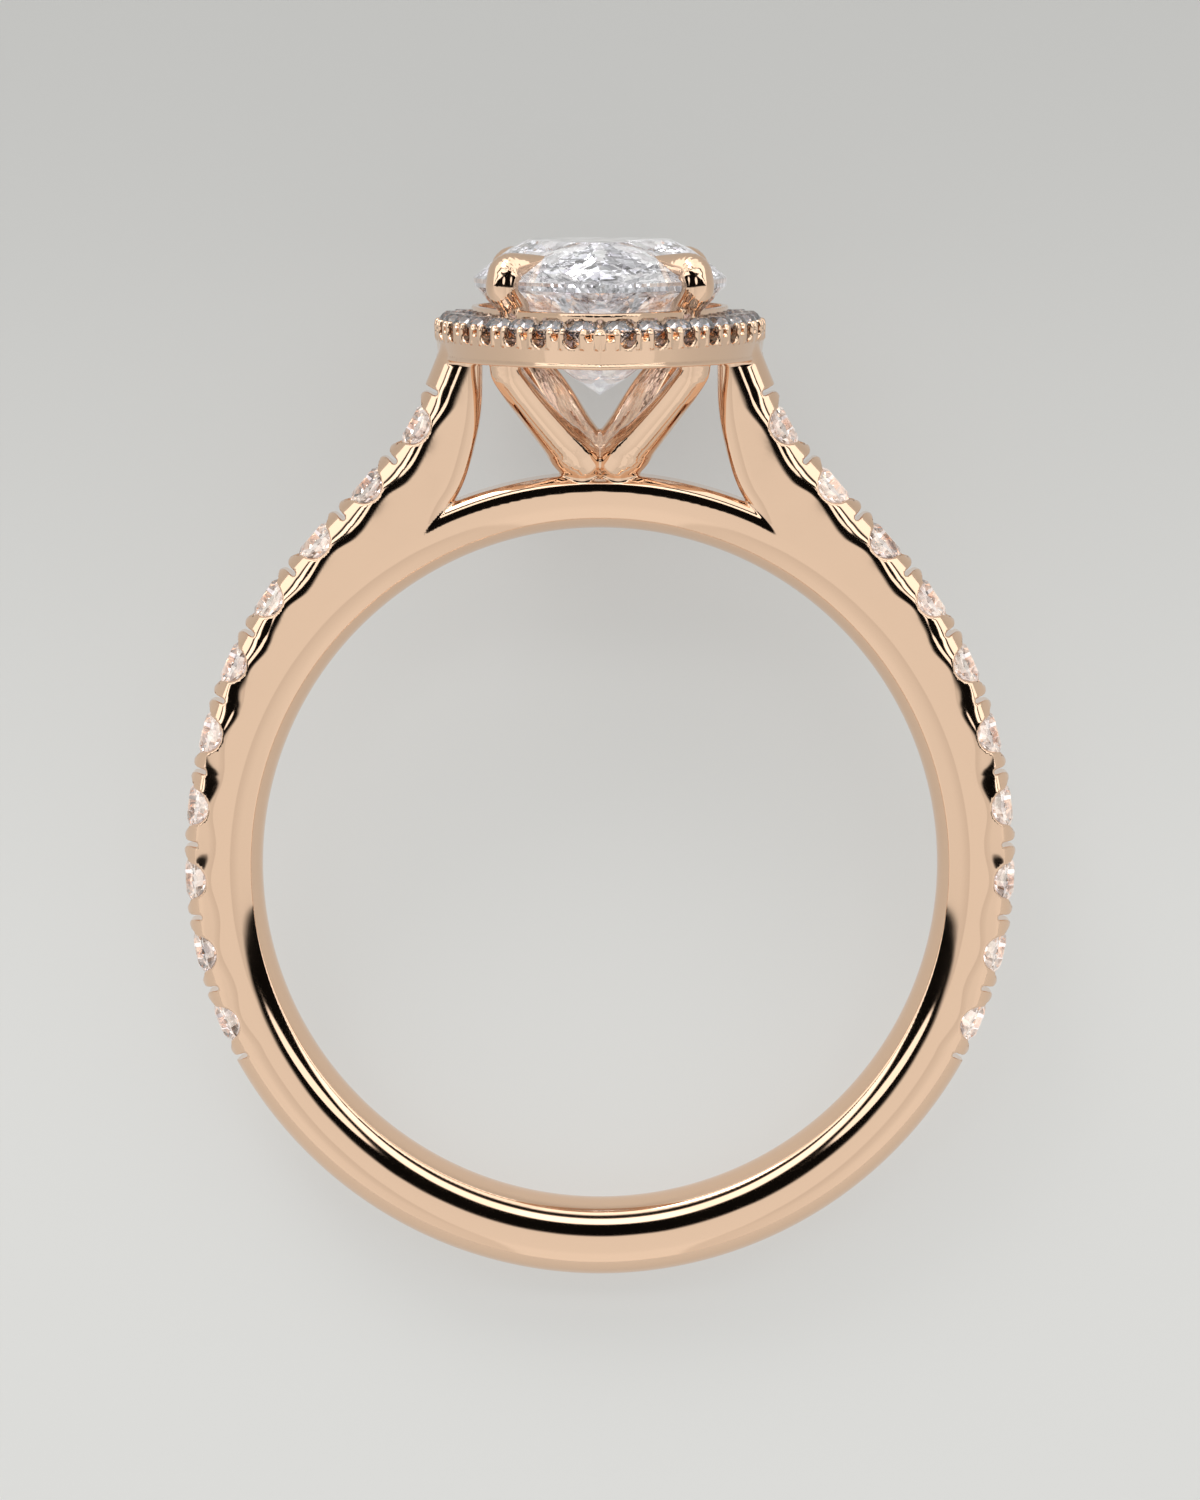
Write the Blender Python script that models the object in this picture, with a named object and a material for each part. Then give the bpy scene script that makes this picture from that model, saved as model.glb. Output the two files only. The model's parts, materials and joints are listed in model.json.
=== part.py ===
"""Halo ring: a pear-cut stone in a pave halo on a cathedral shank, lying on its side.

The ring is modelled upright in its own frame and then laid on its side.
Ring frame: X across the band, Z from the middle of the finger hole to the head,
Y along the finger, with the tip of the pear towards -Y.
All lengths are in metres.
"""

import math

import bmesh
import bpy
import numpy as np
from mathutils import Matrix, Vector

# Finger hole and band
FINGER_RADIUS = 0.00825
COMFORT_RISE = 0.00032
COMFORT_SHARE = 0.8
BAND_WIDTH = 0.0019
BAND_THICKNESS = 0.0019
BRIDGE_THICKNESS = 0.0013
BRIDGE_WIDTH = 0.00178
BRIDGE_HALF_ANGLE = math.radians(41)

# Shoulders, which rise from the band to the halo
SHOULDER_TOP_ANGLE = math.radians(17.4)
SHOULDER_FORK_ANGLE = math.radians(37)
SHOULDER_FOOT_X = 0.00346
SHOULDER_TOP_X = 0.00287
SHOULDER_SWEEP = 2.2

# Small round stones down each side of the band
SIDE_STONES = 10
SIDE_STONE_DIAMETER = 0.0013
SIDE_STONE_PITCH = 0.001845
SIDE_STONE_START = 0.00184
WINDOW_WIDTH = 0.0009
WINDOW_DEPTH = 0.00056
PRONG_SLOT_WIDTH = 0.00014
PRONG_SLOT_DEPTH = 0.00042

# Pear-cut centre stone
PEAR_WIDTH = 0.0062
PEAR_LENGTH = 0.0092
PEAR_TABLE_SHARE = 0.57
PEAR_CROWN_HEIGHT = 0.00092
PEAR_GIRDLE_HEIGHT = 0.0002
PEAR_PAVILION_DEPTH = 0.0027
PEAR_LOWER_SHARE = 0.35
PEAR_KITE_RISE = 0.56
PEAR_LOWER_DROP = 0.68
GIRDLE_LIFT = 0.00058

# Halo round the centre stone
HALO_BASE_HEIGHT = 0.01233
HALO_WALL_HEIGHT = 0.00097
HALO_OVERHANG = 0.00098
HALO_INSET = 0.00012
HALO_COLLAR_RISE = 0.00022
HALO_COLLAR_WIDTH = 0.00011
HALO_TAPER = 0.00012
HALO_LIP_HEIGHT = 0.00014
HALO_STONE_DIAMETER = 0.0008
HALO_STONE_LIFT = 0.0001
HALO_STONE_GAP = 0.00003
HALO_STONE_MARGIN = 0.0001
HALO_STONE_PITCH = 0.00096
SCALLOP_WIDTH = 0.00034
SCALLOP_DEPTH = 0.00042
SCALLOP_REACH = 0.00026

# Basket arms and claws
CLAW_WIDTH = 0.00092
CLAW_THICKNESS = 0.00072
CLAW_HALF_SPAN = 0.00215
ARM_WIDTH = 0.00096
ARM_THICKNESS = 0.0009

# Clearances
STONE_CLEARANCE = 0.00006
OVERLAP = 0.0002

# Cut of the small stones, as shares of their diameter
SMALL_TABLE = 0.56
SMALL_CROWN = 0.16
SMALL_GIRDLE = 0.04
SMALL_PAVILION = 0.42

# Mesh fineness
BAND_STATIONS = 27
SHOULDER_STATIONS = 12
BRIDGE_STATIONS = 16
FINGER_SEGMENTS = 64
HALO_SEGMENTS = 56
CLAW_SIDES = 10
PEAR_MAINS = 16
WINDOW_SEGMENTS = 6
SLOT_SEGMENTS = 3
SCALLOP_SEGMENTS = 4

# Half of the band's cross-section: share of the depth from the finger outwards,
# share of the half width.
BAND_SECTION = (
    (0.00, 0.46),
    (0.10, 0.65),
    (0.23, 0.80),
    (0.42, 0.94),
    (0.62, 1.00),
    (0.82, 0.95),
    (0.95, 0.81),
    (1.00, 0.62),
)

# Outer edge of band and shoulder: angle from the head in degrees,
# share of the rise from the plain band to the halo.
SHOULDER_RISE = (
    (18.7, 0.883),
    (22.6, 0.594),
    (30.7, 0.332),
    (40.2, 0.206),
    (50.6, 0.148),
    (60.7, 0.098),
    (71.4, 0.046),
    (81.6, 0.018),
    (95.0, 0.004),
    (110.0, 0.0),
    (180.0, 0.0),
)

# Basket arm: share of the height from bridge to halo, share of the reach to the claw.
ARM_PATH = (
    (-0.05, 0.10),
    (0.22, 0.31),
    (0.48, 0.53),
    (0.76, 0.79),
    (1.08, 1.00),
)

# Claw: share of the height from the halo's base to the table, share of the claw's
# thickness out from the girdle, share of its width.
CLAW_PATH = (
    (0.30, 0.12, 0.76),
    (0.50, 0.20, 0.92),
    (0.70, 0.24, 1.00),
    (0.85, 0.02, 0.88),
    (0.92, -0.42, 0.66),
    (0.94, -1.00, 0.32),
)


def clear_scene():
    for obj in list(bpy.data.objects):
        bpy.data.objects.remove(obj, do_unlink=True)


def make_material(name, colour, roughness, metallic, transmission=0.0, ior=1.5):
    material = bpy.data.materials.new(name)
    material.use_nodes = True
    shader = material.node_tree.nodes["Principled BSDF"]
    shader.inputs["Base Color"].default_value = (*colour, 1.0)
    shader.inputs["Roughness"].default_value = roughness
    shader.inputs["Metallic"].default_value = metallic
    shader.inputs["Transmission Weight"].default_value = transmission
    shader.inputs["IOR"].default_value = ior
    return material


def make_object(name, points, faces, material=None):
    """A mesh object from points and faces, with its faces turned outwards."""
    mesh = bpy.data.meshes.new(name)
    mesh.from_pydata([tuple(point) for point in points], [], faces)
    shape = bmesh.new()
    shape.from_mesh(mesh)
    bmesh.ops.recalc_face_normals(shape, faces=shape.faces)
    bmesh.ops.triangulate(shape, faces=[face for face in shape.faces if len(face.verts) > 4])
    shape.to_mesh(mesh)
    shape.free()
    if material:
        mesh.materials.append(material)
    obj = bpy.data.objects.new(name, mesh)
    bpy.context.collection.objects.link(obj)
    return obj


def combine(obj, name, operands, operation):
    """Adds or cuts other objects in one step, through a Boolean modifier."""
    tools = bpy.data.collections.new(name)
    bpy.context.scene.collection.children.link(tools)
    for operand in operands:
        for home in operand.users_collection:
            home.objects.unlink(operand)
        tools.objects.link(operand)
        operand.hide_render = True
        operand.display_type = "WIRE"
    modifier = obj.modifiers.new(name, "BOOLEAN")
    modifier.operand_type = "COLLECTION"
    modifier.collection = tools
    modifier.operation = operation
    modifier.solver = "EXACT"


def loft_faces(rings, size, closed):
    """Faces between successive rings of points, with end caps unless the loft is closed."""
    faces = []
    for ring in range(rings if closed else rings - 1):
        here = ring * size
        there = (ring + 1) % rings * size
        for i in range(size):
            j = (i + 1) % size
            faces.append((here + i, here + j, there + j, there + i))
    if not closed:
        faces.append(tuple(range(size)))
        faces.append(tuple(range((rings - 1) * size, rings * size)))
    return faces


def loft(name, rings, material=None, closed=False):
    points = [point for ring in rings for point in ring]
    return make_object(name, points, loft_faces(len(rings), len(rings[0]), closed), material)


def join_shapes(name, shapes):
    """One object from several separate (points, faces) shapes."""
    points = []
    faces = []
    for shape_points, shape_faces in shapes:
        start = len(points)
        points.extend(shape_points)
        faces.extend(tuple(start + i for i in face) for face in shape_faces)
    return make_object(name, points, faces)


def smooth_table(rows, at):
    """Reads a two-column table along smooth curves through its rows."""
    x, y = np.array(rows).T
    slope = np.gradient(y, x)
    k = np.clip(np.searchsorted(x, at) - 1, 0, len(x) - 2)
    span = x[k + 1] - x[k]
    t = (np.asarray(at) - x[k]) / span
    first = (1 + 2 * t) * (1 - t) ** 2 * y[k] + t * (1 - t) ** 2 * span * slope[k]
    return first + t * t * (3 - 2 * t) * y[k + 1] + t * t * (t - 1) * span * slope[k + 1]


def band_radius():
    return FINGER_RADIUS + BAND_THICKNESS


def bridge_radius():
    return FINGER_RADIUS + BRIDGE_THICKNESS


def halo_top_height():
    return HALO_BASE_HEIGHT + HALO_WALL_HEIGHT


def girdle_height():
    """Height of the lower edge of the centre stone's girdle."""
    return halo_top_height() + HALO_COLLAR_RISE + GIRDLE_LIFT


def table_height():
    return girdle_height() + PEAR_GIRDLE_HEIGHT + PEAR_CROWN_HEIGHT


def outer_edge(samples):
    """Points (x, z) on the outer edge, from the right shoulder's top to the bottom."""
    angle = np.linspace(SHOULDER_TOP_ANGLE, math.pi, samples)
    top = (HALO_BASE_HEIGHT + OVERLAP) / math.cos(SHOULDER_TOP_ANGLE)
    rows = ((math.degrees(SHOULDER_TOP_ANGLE), 1.0), *SHOULDER_RISE)
    share = smooth_table(rows, np.degrees(angle))
    radius = band_radius() + share * (top - band_radius())
    return np.stack([radius * np.sin(angle), radius * np.cos(angle)], axis=1)


def path_lengths(points):
    steps = np.linalg.norm(np.diff(points, axis=0), axis=1)
    return np.concatenate([[0.0], np.cumsum(steps)])


def along(points, distance):
    """Points at these distances along a polyline."""
    lengths = path_lengths(points)
    columns = [np.interp(distance, lengths, column) for column in points.T]
    return np.stack(columns, axis=-1)


def shoulder_inner_edge():
    """Points (x, z) from the inner side of the band, by the foot, up to the halo."""
    start = FINGER_RADIUS - OVERLAP
    foot_z = math.sqrt(bridge_radius() ** 2 - SHOULDER_FOOT_X**2)
    points = [(start * math.sin(SHOULDER_FORK_ANGLE), start * math.cos(SHOULDER_FORK_ANGLE))]
    for share in np.linspace(0.0, 1.0, SHOULDER_STATIONS):
        bow = (1 - share) ** SHOULDER_SWEEP
        x = SHOULDER_TOP_X + (SHOULDER_FOOT_X - SHOULDER_TOP_X) * bow
        points.append((x, foot_z + (HALO_BASE_HEIGHT + OVERLAP - foot_z) * share))
    return np.array(points)


def band_section(inner, outer, width):
    """A cross-section of the band between an inner and an outer point (x, z)."""
    ring = []
    for side, rows in ((-1, BAND_SECTION), (1, BAND_SECTION[::-1])):
        for depth, half in rows:
            x, z = inner + (outer - inner) * depth
            ring.append((x, side * half * width / 2, z))
    return ring


def make_band(material):
    """The shank and both shoulders, filled in towards the finger."""
    edge = outer_edge(400)
    outer = along(edge, np.linspace(0, path_lengths(edge)[-1], BAND_STATIONS))
    angle = np.arctan2(outer[:, 0], outer[:, 1])
    inner_edge = shoulder_inner_edge()
    inner_length = path_lengths(inner_edge)[-1]
    start = FINGER_RADIUS - OVERLAP
    right = []
    for point, turn in zip(outer, angle):
        if turn < SHOULDER_FORK_ANGLE:
            share = (SHOULDER_FORK_ANGLE - turn) / (SHOULDER_FORK_ANGLE - SHOULDER_TOP_ANGLE)
            inner = along(inner_edge, share * inner_length)
        else:
            inner = np.array([math.sin(turn), math.cos(turn)]) * start
        right.append((inner, point))
    mirror = np.array([-1.0, 1.0])
    left = [(inner * mirror, point * mirror) for inner, point in right[:-1]]
    stations = right + left[::-1]
    rings = [band_section(inner, point, BAND_WIDTH) for inner, point in stations]
    return loft("mount", rings, material)


def make_bridge():
    start = FINGER_RADIUS - 2 * OVERLAP
    rings = []
    for angle in np.linspace(-BRIDGE_HALF_ANGLE, BRIDGE_HALF_ANGLE, BRIDGE_STATIONS):
        way = np.array([math.sin(angle), math.cos(angle)])
        rings.append(band_section(way * start, way * bridge_radius(), BRIDGE_WIDTH))
    return loft("bridge", rings)


def make_finger_hole():
    """The cutter of the finger hole, with a comfort curve across the band."""
    edge = COMFORT_SHARE * BAND_WIDTH / 2
    rings = []
    for share in (-2.0, -1.0, -0.5, 0.5, 1.0, 2.0):
        radius = FINGER_RADIUS + COMFORT_RISE * share**2
        ring = []
        for i in range(FINGER_SEGMENTS):
            turn = 2 * math.pi * (i + 0.5) / FINGER_SEGMENTS
            ring.append((radius * math.sin(turn), share * edge, radius * math.cos(turn)))
        rings.append(ring)
    return loft("finger_hole", rings)


def side_frames(distances):
    """Frames on the outer edge at these distances from the right shoulder's top.

    Each has its origin on the edge, its X along the edge, its Y along the finger
    and its Z outwards.
    """
    edge = outer_edge(1200)
    step = 1e-5
    frames = []
    for distance in distances:
        place = along(edge, distance)
        tangent = along(edge, distance + step) - along(edge, distance - step)
        tangent /= np.linalg.norm(tangent)
        frame = Matrix.Identity(4)
        frame.col[0].xyz = (tangent[0], 0.0, tangent[1])
        frame.col[1].xyz = (0.0, 1.0, 0.0)
        frame.col[2].xyz = (-tangent[1], 0.0, tangent[0])
        frame.translation = (place[0], 0.0, place[1])
        frames.append(frame)
    return frames


def mirrored(frames):
    """Mirror images on the left of frames on the right."""
    flip = Matrix.Diagonal((-1.0, 1.0, 1.0, 1.0))
    return [flip @ frame @ flip for frame in frames]


def slot_outline(width, depth, segments):
    """A U-shaped outline (x, z), open upwards, with its bottom at -depth."""
    radius = width / 2
    outline = [(radius, OVERLAP)]
    for i in range(segments + 1):
        turn = math.pi * i / segments
        outline.append((radius * math.cos(turn), radius - depth - radius * math.sin(turn)))
    outline.append((-radius, OVERLAP))
    return outline


def slot_shape(frame, width, depth, near, far, segments):
    """A U-shaped slot along a frame's Y axis, from near to far."""
    outline = slot_outline(width, depth, segments)
    points = [frame @ Vector((x, y, z)) for y in (near, far) for x, z in outline]
    return points, loft_faces(2, len(outline), False)


def round_levels(diameter, grow=0.0):
    """A small stone's radius and the heights of its girdle's upper and lower edge."""
    radius = diameter / 2 + grow
    crown = diameter * SMALL_CROWN
    girdle = diameter * SMALL_GIRDLE
    return radius, -crown, -crown - girdle - grow


def octagon(radius, height):
    return [
        (
            radius * math.cos(math.pi * (i + 0.5) / 4),
            radius * math.sin(math.pi * (i + 0.5) / 4),
            height,
        )
        for i in range(8)
    ]


def single_cut(diameter):
    """(points, faces) of a small round stone, with its table in the plane z = 0."""
    radius, upper, lower = round_levels(diameter)
    points = octagon(radius * SMALL_TABLE, 0.0) + octagon(radius, upper) + octagon(radius, lower)
    points.append((0.0, 0.0, lower - diameter * SMALL_PAVILION))
    faces = [tuple(range(8))]
    for i in range(8):
        j = (i + 1) % 8
        faces.append((i, j, 8 + j, 8 + i))
        faces.append((8 + i, 8 + j, 16 + j, 16 + i))
        faces.append((16 + i, 16 + j, 24))
    return points, faces


def pocket_shape(frame, diameter):
    """The seat of a small round stone, open upwards, with its clearance."""
    radius, _, lower = round_levels(diameter, STONE_CLEARANCE)
    points = octagon(radius, diameter) + octagon(radius, lower)
    points.append((0.0, 0.0, lower - diameter * SMALL_PAVILION - STONE_CLEARANCE))
    faces = [tuple(range(8))]
    for i in range(8):
        j = (i + 1) % 8
        faces.append((i, j, 8 + j, 8 + i))
        faces.append((8 + i, 8 + j, 16))
    return [frame @ Vector(point) for point in points], faces


def make_side_stones(frames, side, material):
    points, faces = single_cut(SIDE_STONE_DIAMETER)
    for number, frame in enumerate(frames, start=1):
        placed = [frame @ Vector(point) for point in points]
        make_object(f"shank_stone_{side}_{number:02d}", placed, faces, material)


def set_side_stones(material):
    """Sets both rows of stones and returns the cutters of their windows, seats and slots."""
    places = SIDE_STONE_START + SIDE_STONE_PITCH * np.arange(SIDE_STONES)
    gaps = SIDE_STONE_START + SIDE_STONE_PITCH * (np.arange(SIDE_STONES + 1) - 0.5)
    right = side_frames(places)
    left = mirrored(right)
    between = side_frames(gaps)
    reach = BAND_WIDTH / 2 + OVERLAP
    windows = [
        slot_shape(frame, WINDOW_WIDTH, WINDOW_DEPTH, -reach, reach, WINDOW_SEGMENTS)
        for frame in right + left
    ]
    pockets = [pocket_shape(frame, SIDE_STONE_DIAMETER) for frame in right + left]
    slots = [
        slot_shape(frame, PRONG_SLOT_WIDTH, PRONG_SLOT_DEPTH, -reach, reach, SLOT_SEGMENTS)
        for frame in between + mirrored(between)
    ]
    make_side_stones(right, "right", material)
    make_side_stones(left, "left", material)
    return [
        join_shapes("side_windows", windows),
        join_shapes("side_seats", pockets),
        join_shapes("prong_slots", slots),
    ]


def pear_arc():
    """Radius of the pear's long sides, and how far their centres lie past its axis."""
    half = PEAR_WIDTH / 2
    reach = PEAR_LENGTH - half
    radius = (half**2 + reach**2) / PEAR_WIDTH
    return radius, radius - half


def pear_belly():
    """Y of the pear's widest place, with the pear centred on the band."""
    return PEAR_LENGTH / 2 - PEAR_WIDTH / 2


def pear_side(offset, samples):
    """Right half of the pear's outline moved outwards, from its tip to its round end."""
    radius, shift = pear_arc()
    side = radius + offset
    tip_turn = math.acos(shift / side)
    side_turn = np.linspace(tip_turn, 0.0, samples)
    x = side * np.cos(side_turn) - shift
    y = pear_belly() - side * np.sin(side_turn)
    end = PEAR_WIDTH / 2 + offset
    end_turn = np.linspace(0.0, math.pi / 2, samples)[1:]
    x = np.concatenate([x, end * np.cos(end_turn)])
    y = np.concatenate([y, pear_belly() + end * np.sin(end_turn)])
    return np.stack([x, y], axis=1)


def pear_loop(offset, count):
    """Points spaced evenly round the pear's outline, from the tip anticlockwise."""
    right = pear_side(offset, 200)
    left = right[::-1] * np.array([-1.0, 1.0])
    loop = np.concatenate([right, left[1:]])
    total = path_lengths(loop)[-1]
    return along(loop, total * np.arange(count) / count)


def claw_foot(front):
    """The outline's point and outward normal where a right-hand claw stands."""
    if front:
        radius, shift = pear_arc()
        turn = math.acos((CLAW_HALF_SPAN + shift) / radius)
        normal = np.array([math.cos(turn), -math.sin(turn)])
        return np.array([CLAW_HALF_SPAN, pear_belly() - radius * math.sin(turn)]), normal
    radius = PEAR_WIDTH / 2
    turn = math.acos(CLAW_HALF_SPAN / radius)
    normal = np.array([math.cos(turn), math.sin(turn)])
    return np.array([0.0, pear_belly()]) + normal * radius, normal


def claw_path(front):
    """Rows of (point, half width, half thickness) from the bridge to the claw's tip."""
    foot, normal = claw_foot(front)
    rows = []
    rise = HALO_BASE_HEIGHT - bridge_radius()
    for height, reach in ARM_PATH:
        point = Vector((*(foot * reach), bridge_radius() + rise * height))
        rows.append((point, ARM_WIDTH / 2, ARM_THICKNESS / 2))
    rise = table_height() - HALO_BASE_HEIGHT
    for height, out, width in CLAW_PATH:
        point = Vector((*(foot + normal * CLAW_THICKNESS * out), HALO_BASE_HEIGHT + rise * height))
        rows.append((point, CLAW_WIDTH / 2 * width, CLAW_THICKNESS / 2 * width))
    return rows


def make_claw(name, front, side):
    """One basket arm with its claw, as a loft of ovals."""
    normal = claw_foot(front)[1]
    across = Vector((-normal[1], normal[0], 0.0))
    rows = claw_path(front)
    rings = []
    for i, (point, half_width, half_thickness) in enumerate(rows):
        before = rows[max(i - 1, 0)][0]
        after = rows[min(i + 1, len(rows) - 1)][0]
        tangent = (after - before).normalized()
        out = across.cross(tangent).normalized()
        flat = tangent.cross(out)
        ring = []
        for k in range(CLAW_SIDES):
            turn = 2 * math.pi * k / CLAW_SIDES
            offset = out * half_thickness * math.cos(turn) + flat * half_width * math.sin(turn)
            place = point + offset
            ring.append((place.x * side, place.y, place.z))
        rings.append(ring)
    return loft(name, rings)


def halo_section():
    """The rim's cross-section: (offset from the centre stone's outline, height)."""
    base = HALO_BASE_HEIGHT
    top = halo_top_height()
    outer = HALO_OVERHANG
    inner = -HALO_INSET
    collar = top + HALO_COLLAR_RISE
    return (
        (outer, top),
        (outer - HALO_TAPER / 2, base + 2 * HALO_LIP_HEIGHT),
        (outer - HALO_TAPER, base),
        (inner + HALO_INSET, base),
        (inner, base + HALO_LIP_HEIGHT),
        (inner, collar),
        (inner + HALO_COLLAR_WIDTH, collar),
        (inner + 2 * HALO_COLLAR_WIDTH, top),
    )


def halo_frames():
    """Frames on the right half's stones, with Y pointing out of the halo and Z upwards."""
    middle = HALO_OVERHANG - HALO_STONE_DIAMETER / 2 - HALO_STONE_MARGIN
    side = pear_side(middle, 400)
    radius, shift = pear_arc()
    tip_turn = math.acos(shift / (radius + middle))
    spacing = HALO_STONE_DIAMETER + HALO_STONE_GAP
    start = spacing / 2 / math.sin(tip_turn)
    stretch = path_lengths(side)[-1] - start
    count = round(stretch / HALO_STONE_PITCH + 0.5)
    step = stretch / (count - 0.5)
    frames = []
    for distance in start + step * np.arange(count):
        place = along(side, distance)
        ahead = along(side, distance + step / 100) - place
        ahead /= np.linalg.norm(ahead)
        frame = Matrix.Identity(4)
        frame.col[0].xyz = (-ahead[0], -ahead[1], 0.0)
        frame.col[1].xyz = (ahead[1], -ahead[0], 0.0)
        frame.translation = (*place, halo_top_height())
        frames.append(frame)
    return frames


def halo_stone_shape(frame):
    """A halo stone's table and crown, with a stem that sinks into the rim."""
    radius, upper, lower = round_levels(HALO_STONE_DIAMETER)
    lift = HALO_STONE_LIFT
    points = octagon(radius * SMALL_TABLE, lift)
    points += octagon(radius, lift + upper) + octagon(radius, lift + lower - OVERLAP)
    faces = loft_faces(3, 8, False)
    return [frame @ Vector(point) for point in points], faces


def make_halo():
    """The halo's rim, scalloped under each stone, with the stones fused into it."""
    section = halo_section()
    loops = [pear_loop(offset, HALO_SEGMENTS) for offset, _ in section]
    rings = [
        [(*loop[i], height) for loop, (_, height) in zip(loops, section)]
        for i in range(HALO_SEGMENTS)
    ]
    halo = loft("halo", rings, closed=True)
    frames = halo_frames()
    frames += mirrored(frames)
    rim = HALO_STONE_DIAMETER / 2 + HALO_STONE_MARGIN
    scallops = [
        slot_shape(frame, SCALLOP_WIDTH, SCALLOP_DEPTH, rim - SCALLOP_REACH, rim + OVERLAP, SCALLOP_SEGMENTS)
        for frame in frames
    ]
    combine(halo, "scallop_cuts", [join_shapes("scallops", scallops)], "DIFFERENCE")
    stones = [halo_stone_shape(frame) for frame in frames]
    combine(halo, "stone_field", [join_shapes("halo_stones", stones)], "UNION")
    return halo


def pear_brilliant(grow=0.0):
    """(points, faces) of the centre stone, or of its seat if it is grown."""
    mains = PEAR_MAINS
    girdle = pear_loop(grow, 2 * mains)
    belly = np.array([0.0, pear_belly()])
    corners = girdle[::2]
    between = girdle[1::2]
    low = girdle_height() - grow
    high = girdle_height() + PEAR_GIRDLE_HEIGHT + grow
    table = belly + (between - belly) * PEAR_TABLE_SHARE
    kites = belly + (corners - belly) * (PEAR_TABLE_SHARE + 1) / 2
    lower_kites = belly + (between - belly) * PEAR_LOWER_SHARE
    kite_height = high + PEAR_CROWN_HEIGHT * PEAR_KITE_RISE
    low_height = low - PEAR_PAVILION_DEPTH * PEAR_LOWER_DROP
    levels = (
        (table, table_height() + grow),
        (kites, kite_height),
        (girdle, high),
        (girdle, low),
        (lower_kites, low_height),
    )
    points = [(x, y, height) for outline, height in levels for x, y in outline]
    points.append((*belly, low - PEAR_PAVILION_DEPTH))
    kite, upper, lower, deep = mains, 2 * mains, 4 * mains, 6 * mains
    culet = 7 * mains
    faces = [tuple(range(mains))]
    for i in range(mains):
        j = (i + 1) % mains
        edge, middle, after = 2 * i, 2 * i + 1, 2 * j
        faces.append((i, kite + j, (i + 1) % mains))
        faces.append((i, kite + i, upper + edge))
        faces.append((i, upper + edge, upper + middle))
        faces.append((i, upper + middle, upper + after))
        faces.append((i, upper + after, kite + j))
        faces.append((upper + edge, upper + middle, lower + middle, lower + edge))
        faces.append((upper + middle, upper + after, lower + after, lower + middle))
        faces.append((lower + edge, lower + middle, deep + i))
        faces.append((lower + middle, lower + after, deep + i))
        faces.append((lower + after, deep + j, deep + i))
        faces.append((deep + i, deep + j, culet))
    return points, faces


def set_centre_stone(material):
    """Sets the centre stone and returns the cutter of its seat."""
    points, faces = pear_brilliant()
    make_object("centre_stone", points, faces, material)
    points, faces = pear_brilliant(STONE_CLEARANCE)
    return make_object("centre_seat", points, faces)


def make_claws():
    return [
        make_claw(f"claw_{end}_{hand}", front, side)
        for front, end in ((True, "front"), (False, "back"))
        for side, hand in ((1, "right"), (-1, "left"))
    ]


def finished_shape(mount):
    """The finished mount's points, and its triangles' corners, in the ring frame."""
    graph = bpy.context.evaluated_depsgraph_get()
    evaluated = mount.evaluated_get(graph)
    mesh = evaluated.to_mesh()
    mesh.calc_loop_triangles()
    points = np.array([vertex.co[:] for vertex in mesh.vertices])
    corners = np.array([triangle.vertices[:] for triangle in mesh.loop_triangles])
    evaluated.to_mesh_clear()
    return points, points[corners]


def centre_of_mass(triangles):
    volumes = np.einsum("ij,ij->i", triangles[:, 0], np.cross(triangles[:, 1], triangles[:, 2]))
    return (volumes[:, None] * triangles.sum(axis=1)).sum(axis=0) / (4 * volumes.sum())


def upper_hull(points):
    """The upper side of the convex hull of points (x, y), from left to right."""
    hull = []
    for point in points[np.lexsort((points[:, 1], points[:, 0]))]:
        while len(hull) > 1:
            first = hull[-1] - hull[-2]
            second = point - hull[-2]
            if first[0] * second[1] - first[1] * second[0] < 0:
                break
            hull.pop()
        hull.append(point)
    return hull


def resting_tilt(points, centre):
    """Slope of the line that the far side of the head and the band both touch."""
    flat = points[:, [2, 1]]
    middle = centre[[2, 1]]
    hull = upper_hull(flat)
    for first, second in zip(hull, hull[1:]):
        way = second - first
        lengthwise = way[0] > abs(way[1])
        if lengthwise and (middle - first) @ way >= 0 >= (middle - second) @ way:
            return math.atan2(way[1], way[0])
    return 0.0


def lay_on_side(mount):
    """Lays the ring on its side, with the pear's tip up, on the plane z = 0."""
    points, triangles = finished_shape(mount)
    tilt = resting_tilt(points, centre_of_mass(triangles))
    turn = Matrix.Rotation(tilt - math.pi / 2, 4, "X")
    placed = points @ np.array(turn.to_3x3()).T
    low = placed.min(axis=0)
    high = placed.max(axis=0)
    middle = (low + high) / 2
    rest = bpy.data.objects.new("resting_ring", None)
    bpy.context.collection.objects.link(rest)
    for obj in bpy.data.objects:
        if obj != rest:
            obj.parent = rest
    rest.matrix_world = Matrix.Translation((-middle[0], -middle[1], -low[2])) @ turn


def main():
    clear_scene()
    gold = make_material("rose_gold", (0.80, 0.50, 0.36), 0.12, 1.0)
    diamond = make_material("diamond", (0.97, 0.97, 1.0), 0.02, 0.0, 0.9, 2.42)
    mount = make_band(gold)
    combine(mount, "soldered_pieces", [make_bridge(), *make_claws(), make_halo()], "UNION")
    cutters = [make_finger_hole(), *set_side_stones(diamond), set_centre_stone(diamond)]
    combine(mount, "cuts", cutters, "DIFFERENCE")
    lay_on_side(mount)


main()
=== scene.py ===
import json
import math

import bpy
import numpy as np
from mathutils import Matrix, Vector


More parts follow.
